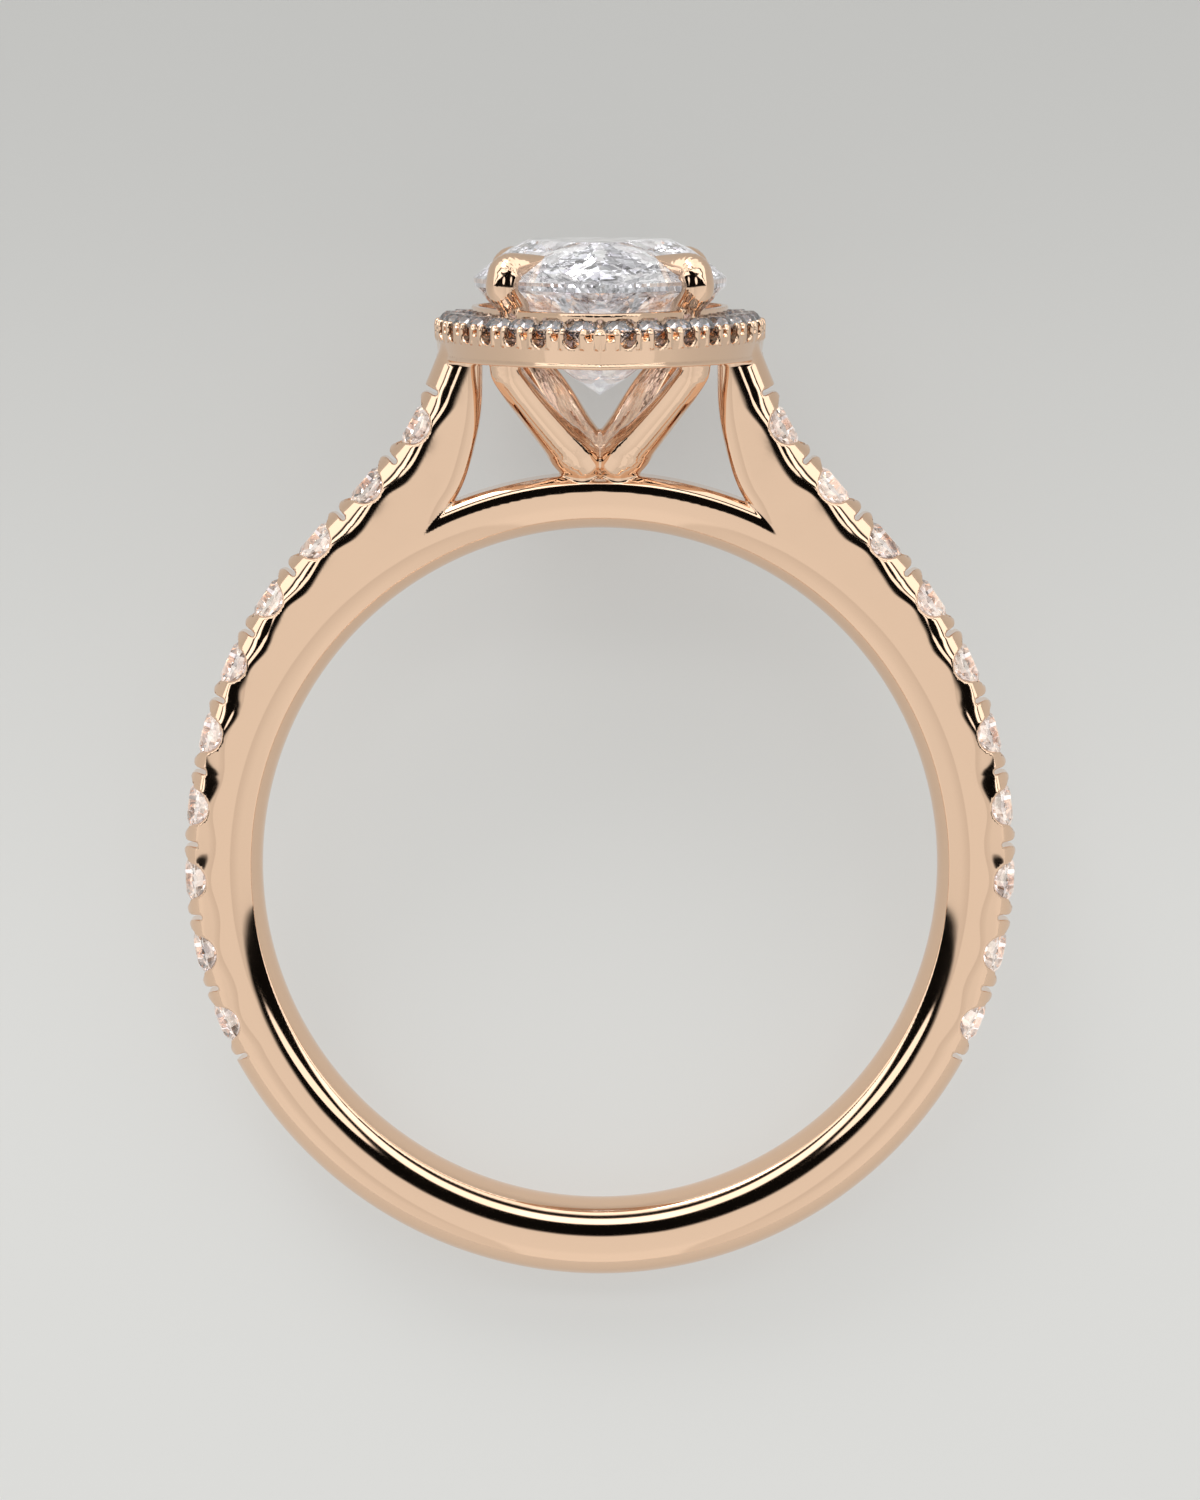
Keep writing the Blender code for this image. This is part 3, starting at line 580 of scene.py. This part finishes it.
def settle(points, cell):
    """Moves points onto the exact surface and returns them with their normals."""
    for _ in range(SETTLE_STEPS):
        slope = slopes(points, SETTLE_SHIFT)
        size = np.maximum((slope * slope).sum(axis=1), 0.05)
        move = -(evaluate(points) / size)[:, None] * slope
        length = np.linalg.norm(move, axis=1)[:, None]
        points = points + move * np.minimum(1.0, cell * SETTLE_MOVE / np.maximum(length, 1e-9))
    normals = slopes(points, cell * NORMAL_SHIFT)
    return points, normals / np.maximum(np.linalg.norm(normals, axis=1)[:, None], 1e-9)


# Pieces. Heights and widths where one piece of the gold ends and the next begins.
GOLD_NAMES = ("halo_rim", "claws", "basket_and_bridge", "lower_shank",
              "right_shoulder", "left_shoulder")
HEAD_LOW = 9.0
HEAD_WIDE, HEAD_FLARE = 2.75, 0.1
HALO_UNDER, HALO_OVER, HALO_INSIDE = 0.04, 0.35, 0.2
CLAW_BASE, CLAW_CLEAR = 0.14, 0.25
LOWER_SHANK_TOP = -4.3


def make_piece(name, points, faces, material):
    mesh = bpy.data.meshes.new(name)
    faces = [tuple(int(i) for i in face) for face in faces]
    mesh.from_pydata(to_world(points).tolist(), [], faces)
    mesh.materials.append(material)
    obj = bpy.data.objects.new(name, mesh)
    bpy.context.scene.collection.objects.link(obj)
    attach(obj, "root")
    return obj


def gold_pieces(material, cell):
    """The gold as quads with the field's own normals, one piece to each zone of faces."""
    points, quads = surface(cell)
    points, normals = settle(points, cell)
    world_normals = normals @ BASIS
    centre = points[quads].mean(axis=1)
    x, y, z = centre.T
    head = (z > HEAD_LOW) & (np.abs(x) < HEAD_WIDE + HEAD_FLARE * np.abs(y))
    offset = pear_offset(np.abs(x), y)
    halo = (z > HALO_BASE - HALO_UNDER) & (z < HALO_TOP + HALO_OVER) & (offset > -HALO_INSIDE)
    claws = (z > HALO_TOP + CLAW_BASE) & ~(halo & (z < HALO_TOP + CLAW_CLEAR))
    rules = [halo & ~claws, claws, head, z < LOWER_SHANK_TOP, x >= 0]
    zone = np.select(rules, range(len(rules)), len(rules))
    for number, name in enumerate(GOLD_NAMES):
        faces = quads[zone == number]
        used, index = np.unique(faces, return_inverse=True)
        index = index.reshape(faces.shape)
        mesh = bpy.data.meshes.new(name)
        mesh.vertices.add(len(used))
        mesh.vertices.foreach_set("co", to_world(points[used]).astype(np.float32).ravel())
        mesh.loops.add(index.size)
        mesh.loops.foreach_set("vertex_index", index.astype(np.int32).ravel())
        mesh.polygons.add(len(index))
        mesh.polygons.foreach_set("loop_start", np.arange(0, index.size, 4, dtype=np.int32))
        mesh.polygons.foreach_set("use_smooth", np.ones(len(index), bool))
        mesh.update(calc_edges=True)
        mesh.validate()
        mesh.normals_split_custom_set_from_vertices(world_normals[used].tolist())
        mesh.materials.append(material)
        obj = bpy.data.objects.new(name, mesh)
        bpy.context.scene.collection.objects.link(obj)
        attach(obj, "root")
        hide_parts("mount")


# Small stones: heights of the table, the girdle's two edges and the culet, and shares of width.
SIDE_LEVELS = (-0.04, -0.04 - 0.15 * SIDE_STONE, -0.04 - 0.19 * SIDE_STONE,
               -0.04 - 0.60 * SIDE_STONE)
SIDE_TABLE = 0.60
HALO_LEVELS = (0.16, -0.04, -0.09, -0.45)
HALO_SHARES = (0.54, 0.78, 0.28)  # table, stars and lower halves
PEAR_SIDES = 32


def brilliant(outline, middle, mains, levels, shares, subdivisions):
    """A brilliant cut: outline(u) gives its girdle, shares the corners of its facets."""
    table_z, high_z, low_z, culet_z = levels
    table_share, star_share, lower_share = shares
    points = []
    faces = []

    def add(u, share, height):
        x, y = middle + (outline(u) - middle) * share
        points.append((x, y, height))
        return len(points) - 1

    def plane_height(trio, x, y):
        a, b, c = (np.array(points[i]) for i in trio)
        normal = np.cross(b - a, c - a)
        return a[2] - (normal[0] * (x - a[0]) + normal[1] * (y - a[1])) / normal[2]

    half = math.cos(math.pi / mains)
    star_drop = (star_share * half - table_share) / (1 - table_share)
    lower_drop = 1 - lower_share * half
    table = [add((i + 0.5) / mains, table_share, table_z) for i in range(mains)]
    star = [add(i / mains, star_share, table_z + (high_z - table_z) * star_drop)
            for i in range(mains)]
    high = [add(j / mains / 2, 1.0, high_z) for j in range(2 * mains)]
    low = [add(j / mains / 2, 1.0, low_z) for j in range(2 * mains)]
    deep = [add(i / mains, lower_share, low_z + (culet_z - low_z) * lower_drop)
            for i in range(mains)]
    points.append((middle[0], middle[1], culet_z))
    culet = len(points) - 1
    faces.append(table)
    for i in range(mains):
        j = (i + 1) % mains
        a, b, c = 2 * i, 2 * i + 1, (2 * i + 2) % (2 * mains)
        faces.append((table[i - 1], table[i], star[i]))
        faces.append((table[i], high[b], star[i]))
        faces.append((table[i], star[j], high[b]))
        faces.append((deep[i], low[b], culet))
        faces.append((deep[j], culet, low[b]))
        for near, far, above, below in ((a, b, star[i], deep[i]), (b, c, star[j], deep[j])):
            first, last = near / mains / 2, (near + 1) / mains / 2
            upper, lower = [high[near]], [low[near]]
            for k in range(1, subdivisions):
                u = first + (last - first) * k / subdivisions
                x, y = outline(u)
                points.append((x, y, plane_height((above, high[near], high[far]), x, y)))
                upper.append(len(points) - 1)
                points.append((x, y, plane_height((below, low[near], low[far]), x, y)))
                lower.append(len(points) - 1)
            upper.append(high[far])
            lower.append(low[far])
            faces.append((above, *upper))
            faces.append((below, *lower[::-1]))
            for k in range(subdivisions):
                faces.append((upper[k], lower[k], lower[k + 1], upper[k + 1]))
    return np.array(points), faces


def facets_between(upper, lower):
    """Triangles between two rings of (share of the way round, point number)."""
    faces, i, j = [], 0, 0
    m, n = len(upper), len(lower)
    while i < m or j < n:
        above = upper[(i + 1) % m][0] + (i + 1) // m
        below = lower[(j + 1) % n][0] + (j + 1) // n
        if j == n or (i < m and above < below):
            faces.append((upper[i % m][1], lower[j % n][1], upper[(i + 1) % m][1]))
            i += 1
        else:
            faces.append((upper[i % m][1], lower[j % n][1], lower[(j + 1) % n][1]))
            j += 1
    return faces


def tiered_cut(outline, middle, sides):
    """The centre stone's cut: rings of facets, each ring half a step on from the one above."""
    points, faces, rings = [], [], []
    for number, (share, height) in enumerate(CROWN_TIERS + PAVILION_TIERS[:-1]):
        count = 2 * sides if share == 1.0 else sides
        turn = 0.0 if share == 1.0 else 0.5 * (number % 2)
        rings.append([((k + turn) / count, len(points) + k) for k in range(count)])
        points += [(*(middle + (outline(u) - middle) * share), height) for u, _ in rings[-1]]
    points.append((*middle, CULET))
    faces.append([index for _, index in rings[0]])
    for upper, lower in zip(rings[:-1], rings[1:]):
        faces += facets_between(upper, lower)
    last = [index for _, index in rings[-1]]
    faces += [(last[k - 1], last[k], len(points) - 1) for k in range(sides)]
    return np.array(points), faces


def single_cut(radius, levels, table_share, mains=8, steps=3):
    """A small round stone: a table, and one flat crown and pavilion facet to each side."""
    table_z, high_z, low_z, culet_z = levels
    half = math.pi / mains
    table = table_share * radius
    points = [(table * math.cos(2 * half * i), table * math.sin(2 * half * i), table_z)
              for i in range(mains)]
    points.append((0.0, 0.0, culet_z))
    inner = table_share * math.cos(half)
    count = mains * steps
    for low in (False, True):
        for k in range(count):
            turn = 2 * half * k / steps
            reach = math.cos(2 * half * (k % steps) / steps - half)
            height = culet_z + (low_z - culet_z) * reach
            if not low:
                height = table_z + (high_z - table_z) * (reach - inner) / (1 - inner)
            points.append((radius * math.cos(turn), radius * math.sin(turn), height))
    faces = [tuple(range(mains))]
    for i in range(mains):
        arc = [i * steps + k for k in range(steps)] + [(i + 1) % mains * steps]
        faces.append((i, *[mains + 1 + k for k in arc], (i + 1) % mains))
        faces.append((mains, *[mains + 1 + count + k for k in arc]))
        faces += [(mains + 1 + p, mains + 1 + q, mains + 1 + count + q, mains + 1 + count + p)
                  for p, q in zip(arc[:-1], arc[1:])]
    return np.array(points), faces


def pear_outline(u):
    """Girdle point at a share of the way round, from the tip, spaced by arc length."""
    tip_turn = math.acos(PEAR_SHIFT / PEAR_RADIUS)
    side_run = tip_turn * PEAR_RADIUS
    end_run = PEAR_END * math.pi / 2
    run = (u % 1.0) * 2 * (side_run + end_run)
    hand = 1.0
    if run > side_run + end_run:
        run = 2 * (side_run + end_run) - run
        hand = -1.0
    if run < side_run:
        turn = tip_turn - run / PEAR_RADIUS
        return np.array([hand * (PEAR_RADIUS * math.cos(turn) - PEAR_SHIFT),
                         BELLY - PEAR_RADIUS * math.sin(turn)])
    turn = (run - side_run) / PEAR_END
    return np.array([hand * PEAR_END * math.cos(turn), BELLY + PEAR_END * math.sin(turn)])


def round_outline(radius):
    return lambda u: radius * np.array([math.cos(2 * math.pi * u), math.sin(2 * math.pi * u)])


def turned_outwards(points, faces):
    """Faces wound so that each one looks away from the stone's middle."""
    middle = points.mean(axis=0)
    result = []
    for face in faces:
        corners = points[list(face)]
        normal = sum(np.cross(corners[k - 1] - middle, corners[k] - middle)
                     for k in range(len(corners)))
        outwards = normal @ (corners.mean(axis=0) - middle) > 0
        result.append(tuple(face) if outwards else tuple(face)[::-1])
    return result


def side_stone_frames():
    """Places of the right-hand row: centre, direction along the edge, direction outwards."""
    made = []
    for i in range(STONE_COUNT):
        run = STONE_START + STONE_PITCH * i
        before, at, after = (np.array([np.interp(run + d, EDGE_RUN, EDGE[:, k]) for k in (0, 1)])
                             for d in (-0.02, 0.0, 0.02))
        tangent = after - before
        tangent /= np.linalg.norm(tangent)
        made.append((np.array([at[0], 0.0, at[1]]), np.array([tangent[0], 0.0, tangent[1]]),
                     np.array([-tangent[1], 0.0, tangent[0]])))
    return made


def stone_pieces(white, warm, cool):
    """The centre stone, the two rows of side stones, and the halo's field as one piece."""
    points, faces = tiered_cut(pear_outline, np.array([0.0, BELLY]), PEAR_SIDES)
    obj = make_piece("centre_stone_facets", points, turned_outwards(points, faces), white)
    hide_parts("centre_stone")
    points, faces = single_cut(SIDE_STONE / 2, SIDE_LEVELS, SIDE_TABLE)
    faces = turned_outwards(points, faces)
    for number, (centre, along, outwards) in enumerate(side_stone_frames(), start=1):
        axes = np.stack([along, np.array([0.0, 1.0, 0.0]), outwards])
        placed = centre + points @ axes
        for hand, side in (("right", 1.0), ("left", -1.0)):
            shown = placed * np.array([side, 1.0, 1.0])
            order = turned_outwards(shown, faces)
            obj = make_piece(f"shank_stone_{hand}_{number:02d}_facets", shown, order, warm)
            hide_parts(f"shank_stone_{hand}_{number:02d}")
    points, faces = brilliant(round_outline(HALO_STONE / 2), np.zeros(2), 8,
                              HALO_LEVELS, HALO_SHARES, 2)
    faces = turned_outwards(points, faces)
    field_points, field_faces = [], []
    for i in range(HALO_COUNT):
        x, y = halo_point(HALO_START + HALO_STEP * i, HALO_MIDDLE)
        for side in (1.0, -1.0):
            shown = (points + np.array([x, y, HALO_TOP])) * np.array([side, 1.0, 1.0])
            start = len(field_points) * len(points)
            field_points.append(shown)
            field_faces += [tuple(start + k for k in face)
                            for face in turned_outwards(shown, faces)]
    obj = make_piece("halo_stones", np.concatenate(field_points), field_faces, cool)
    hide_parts("mount")


# Materials and light.
def add_node(tree, kind, inputs=None, **settings):
    """A node with its own settings, and the values of its named or numbered inputs."""
    node = tree.nodes.new(kind)
    for name, value in settings.items():
        setattr(node, name, value)
    for name, value in (inputs or {}).items():
        node.inputs[name].default_value = value
    return node


def add_ramp(tree, stops):
    """A colour ramp with (position, colour) stops in rising order."""
    ramp = tree.nodes.new("ShaderNodeValToRGB")
    elements = ramp.color_ramp.elements
    while len(elements) < len(stops):
        elements.new(0.5)
    for element, (position, colour) in zip(elements, stops):
        element.position = position
        element.color = (*colour, 1.0)
    return ramp


def link(tree, *pairs):
    """Links each (node, output) to each (node, input)."""
    for (source, output), (target, name) in pairs:
        tree.links.new(source.outputs[output], target.inputs[name])


def principled(name, colour, roughness, metallic=0.0):
    material = bpy.data.materials.new(name)
    material.use_nodes = True
    shader = material.node_tree.nodes["Principled BSDF"]
    shader.inputs["Base Color"].default_value = (*colour, 1.0)
    shader.inputs["Roughness"].default_value = roughness
    shader.inputs["Metallic"].default_value = metallic
    return material, material.node_tree, shader


def gold_material():
    """Polished gold: fine changes of gloss and very shallow waves."""
    material, tree, shader = principled("polished_rose_gold", (0.86, 0.61, 0.44), 0.06, 1.0)
    place = add_node(tree, "ShaderNodeTexCoord")
    polish = add_node(tree, "ShaderNodeTexNoise", {"Scale": 900.0, "Detail": 4.0})
    spread = add_node(tree, "ShaderNodeMapRange", {"To Min": 0.03, "To Max": 0.10})
    waves = add_node(tree, "ShaderNodeTexNoise", {"Scale": 650.0, "Detail": 1.0})
    bump = add_node(tree, "ShaderNodeBump", {"Strength": 0.5, "Distance": 0.000012})
    link(tree, ((place, "Object"), (polish, "Vector")), ((polish, "Fac"), (spread, "Value")),
         ((spread, "Result"), (shader, "Roughness")), ((place, "Object"), (waves, "Vector")),
         ((waves, "Fac"), (bump, "Height")), ((bump, "Normal"), (shader, "Normal")))
    return material


# Scale of the cells that give the stones their painted glints and a little random tone.
GLINT_CELL_SCALE = 3200.0
PLAIN_SHARE = 0.93  # of the stone's own colour, against the cells' colours


def diamond_material(name, colour, glow):
    """Clear faceted stone; cells of emitted light in it are painted glints for its fire."""
    material, tree, shader = principled(name, colour, 0.0)
    shader.inputs["Transmission Weight"].default_value = 1.0
    shader.inputs["IOR"].default_value = 2.2
    shader.inputs["Emission Strength"].default_value = glow
    place = add_node(tree, "ShaderNodeTexCoord")
    glint_and_tone_cells = add_node(tree, "ShaderNodeTexVoronoi", {"Scale": GLINT_CELL_SCALE})
    tint = add_node(tree, "ShaderNodeMix", {"Factor": PLAIN_SHARE, "B": (*colour, 1.0)},
                    data_type="RGBA")
    # Painted glints: the brighter cells make the stone glow in its own colour.
    painted_glint = add_ramp(tree, ((0.38, (0.0, 0.0, 0.0)), (0.75, colour)))
    link(tree, ((place, "Object"), (glint_and_tone_cells, "Vector")), ((glint_and_tone_cells, "Color"), (tint, "A")),
         ((tint, "Result"), (shader, "Base Color")), ((glint_and_tone_cells, "Color"), (painted_glint, "Fac")),
         ((painted_glint, "Color"), (shader, "Emission Color")))
    return material


def floor_material():
    """Pale matt floor with a soft light of its own, stronger away from the ring's head."""
    material, tree, shader = principled("pale_floor", (0.27, 0.27, 0.265), 0.7)
    shader.inputs["Specular IOR Level"].default_value = 0.1
    shader.inputs["Emission Color"].default_value = (1.0, 1.0, 0.975, 1.0)
    place = add_node(tree, "ShaderNodeTexCoord")
    split = add_node(tree, "ShaderNodeSeparateXYZ")
    fade = add_node(tree, "ShaderNodeMapRange",
                    {"From Min": -0.010, "From Max": 0.023, "To Min": 0.46, "To Max": 0.28},
                    interpolation_type="SMOOTHSTEP")
    link(tree, ((place, "Object"), (split, "Vector")), ((split, "Y"), (fade, "Value")),
         ((fade, "Result"), (shader, "Emission Strength")))
    return material


def make_floor():
    mesh = bpy.data.meshes.new("floor")
    mesh.from_pydata([(-2, -2, 0), (2, -2, 0), (2, 2, 0), (-2, 2, 0)], [], [(0, 1, 2, 3)])
    mesh.materials.append(floor_material())
    floor = bpy.data.objects.new("floor", mesh)
    bpy.context.scene.collection.objects.link(floor)


# Brightness of the studio by angle from straight up, in degrees towards the ring's head.
STUDIO = ((-95, 0.95), (-60, 0.95), (-44, 0.90), (-14, 0.88), (-12, 0.004), (17, 0.004),
          (19, 2.0), (30, 2.0), (31.5, 0.01), (38, 0.01), (42, 1.6), (97, 1.6), (103, 0.85))
WORLD_STRENGTH = 2.0
# Shade to the sides, by how far a direction leans to +X or -X.
FLANK = ((0.17, (1.0, 1.0, 1.0)), (0.19, (0.84, 0.83, 0.82)), (0.60, (0.96, 0.96, 0.96)))
# What light that has passed through a stone meets.
SPARKLE = ((0.32, (0.0, 0.0, 0.0)), (0.62, (0.58, 0.58, 0.62)))
SPARKLE_SCALE = 9.0
# Two soft lamps before the ring: angle to each side, rise, and radii of their glow, in degrees.
LAMP_TURN, LAMP_RISE, LAMP_INSIDE, LAMP_OUTSIDE = 28, 13, 7, 8.5
LAMP_COLOUR = (0.75, 0.75, 0.74, 1.0)


def lamp_direction(side):
    turn, rise = math.radians(LAMP_TURN) * side, math.radians(LAMP_RISE)
    aim = [math.sin(turn) * math.cos(rise), -math.cos(turn) * math.cos(rise), math.sin(rise)]
    return np.array(aim) @ BASIS


def make_world():
    """A studio of bands that run left to right, a little darker at the sides, with two lamps."""
    world = bpy.data.worlds.new("studio")
    bpy.context.scene.world = world
    world.use_nodes = True
    tree = world.node_tree
    background = tree.nodes["Background"]
    background.inputs["Strength"].default_value = WORLD_STRENGTH
    way = add_node(tree, "ShaderNodeTexCoord")
    split = add_node(tree, "ShaderNodeSeparateXYZ")
    lean = add_node(tree, "ShaderNodeMath", operation="ARCTAN2")
    share = add_node(tree, "ShaderNodeMapRange", {"From Min": -math.pi, "From Max": math.pi})
    bands = add_ramp(tree, [(0.5 + degrees / 360, (level / 2, level / 2, level / 2 * 0.98))
                            for degrees, level in STUDIO])
    sideways = add_node(tree, "ShaderNodeMath", operation="ABSOLUTE")
    flank = add_ramp(tree, FLANK)
    shaded = add_node(tree, "ShaderNodeMix", data_type="RGBA", blend_type="MULTIPLY")
    shaded.inputs["Factor"].default_value = 1.0
    link(tree, ((way, "Generated"), (split, "Vector")), ((split, "Y"), (lean, 0)),
         ((split, "Z"), (lean, 1)), ((lean, "Value"), (share, "Value")),
         ((share, "Result"), (bands, "Fac")), ((split, "X"), (sideways, 0)),
         ((sideways, "Value"), (flank, "Fac")), ((bands, "Color"), (shaded, "A")),
         ((flank, "Color"), (shaded, "B")))
    shown = shaded
    for side in (-1, 1):
        facing = add_node(tree, "ShaderNodeVectorMath", {1: tuple(lamp_direction(side))},
                          operation="DOT_PRODUCT")
        spot = add_node(tree, "ShaderNodeMapRange",
                        {"From Min": math.cos(math.radians(LAMP_OUTSIDE)),
                         "From Max": math.cos(math.radians(LAMP_INSIDE))})
        lit = add_node(tree, "ShaderNodeMix", {"B": LAMP_COLOUR}, data_type="RGBA")
        link(tree, ((way, "Generated"), (facing, 0)), ((facing, "Value"), (spot, "Value")),
             ((spot, "Result"), (lit, "Factor")), ((shown, "Result"), (lit, "A")))
        shown = lit
    path = add_node(tree, "ShaderNodeLightPath")
    cells = add_node(tree, "ShaderNodeTexVoronoi", {"Scale": SPARKLE_SCALE})
    sparkle = add_ramp(tree, SPARKLE)
    mix = add_node(tree, "ShaderNodeMix", data_type="RGBA")
    link(tree, ((way, "Generated"), (cells, "Vector")), ((cells, "Color"), (sparkle, "Fac")),
         ((path, "Is Transmission Ray"), (mix, "Factor")), ((shown, "Result"), (mix, "A")),
         ((sparkle, "Color"), (mix, "B")), ((mix, "Result"), (background, "Color")))


def make_light(name, place, target, size, power):
    light = bpy.data.lights.new(name, "AREA")
    light.shape = "DISK"
    light.size = size
    light.energy = power
    obj = bpy.data.objects.new(name, light)
    obj.location = place
    obj.rotation_mode = "QUATERNION"
    obj.rotation_quaternion = (Vector(target) - Vector(place)).to_track_quat("-Z", "Y")
    bpy.context.scene.collection.objects.link(obj)


LENS = 163.8
CAMERA_PLACE = (0.0, -166.0, 19.6)
CAMERA_AIM = (0.0, 0.0, 2.8)


def make_camera():
    """The photo's view: nearly along the finger hole, from a little towards the head."""
    data = bpy.data.cameras.new("camera")
    data.sensor_width = 36.0
    data.lens = LENS
    data.clip_start, data.clip_end = 0.01, 10.0
    camera = bpy.data.objects.new("camera", data)
    place = Vector(to_world(CAMERA_PLACE))
    aim = Vector(to_world(CAMERA_AIM))
    back = (place - aim).normalized()
    up = Vector(HEAD)
    right = up.cross(back).normalized()
    up = back.cross(right)
    camera.matrix_world = Matrix.LocRotScale(place, Matrix((right, up, back)).transposed(), None)
    bpy.context.scene.collection.objects.link(camera)
    bpy.context.scene.camera = camera


bpy.context.scene.view_settings.view_transform = "Standard"
gold = gold_material()
# One diamond in three copies with painted glints, the shank's the brightest; the halo's copy is
# tinted dark and cool as painted shade.
white = diamond_material("white_diamond", (0.99, 0.975, 1.0), 0.15)
warm = diamond_material("shank_diamond", (1.0, 0.90, 0.84), 0.24)
cool = diamond_material("halo_diamond", (0.56, 0.60, 0.69), 0.01)
gold_pieces(gold, CELL)
stone_pieces(white, warm, cool)
make_floor()
make_world()
make_light("key", (-0.25, 0.55, 0.32), (0, 0, 0), 0.3, 1.2)
make_camera()
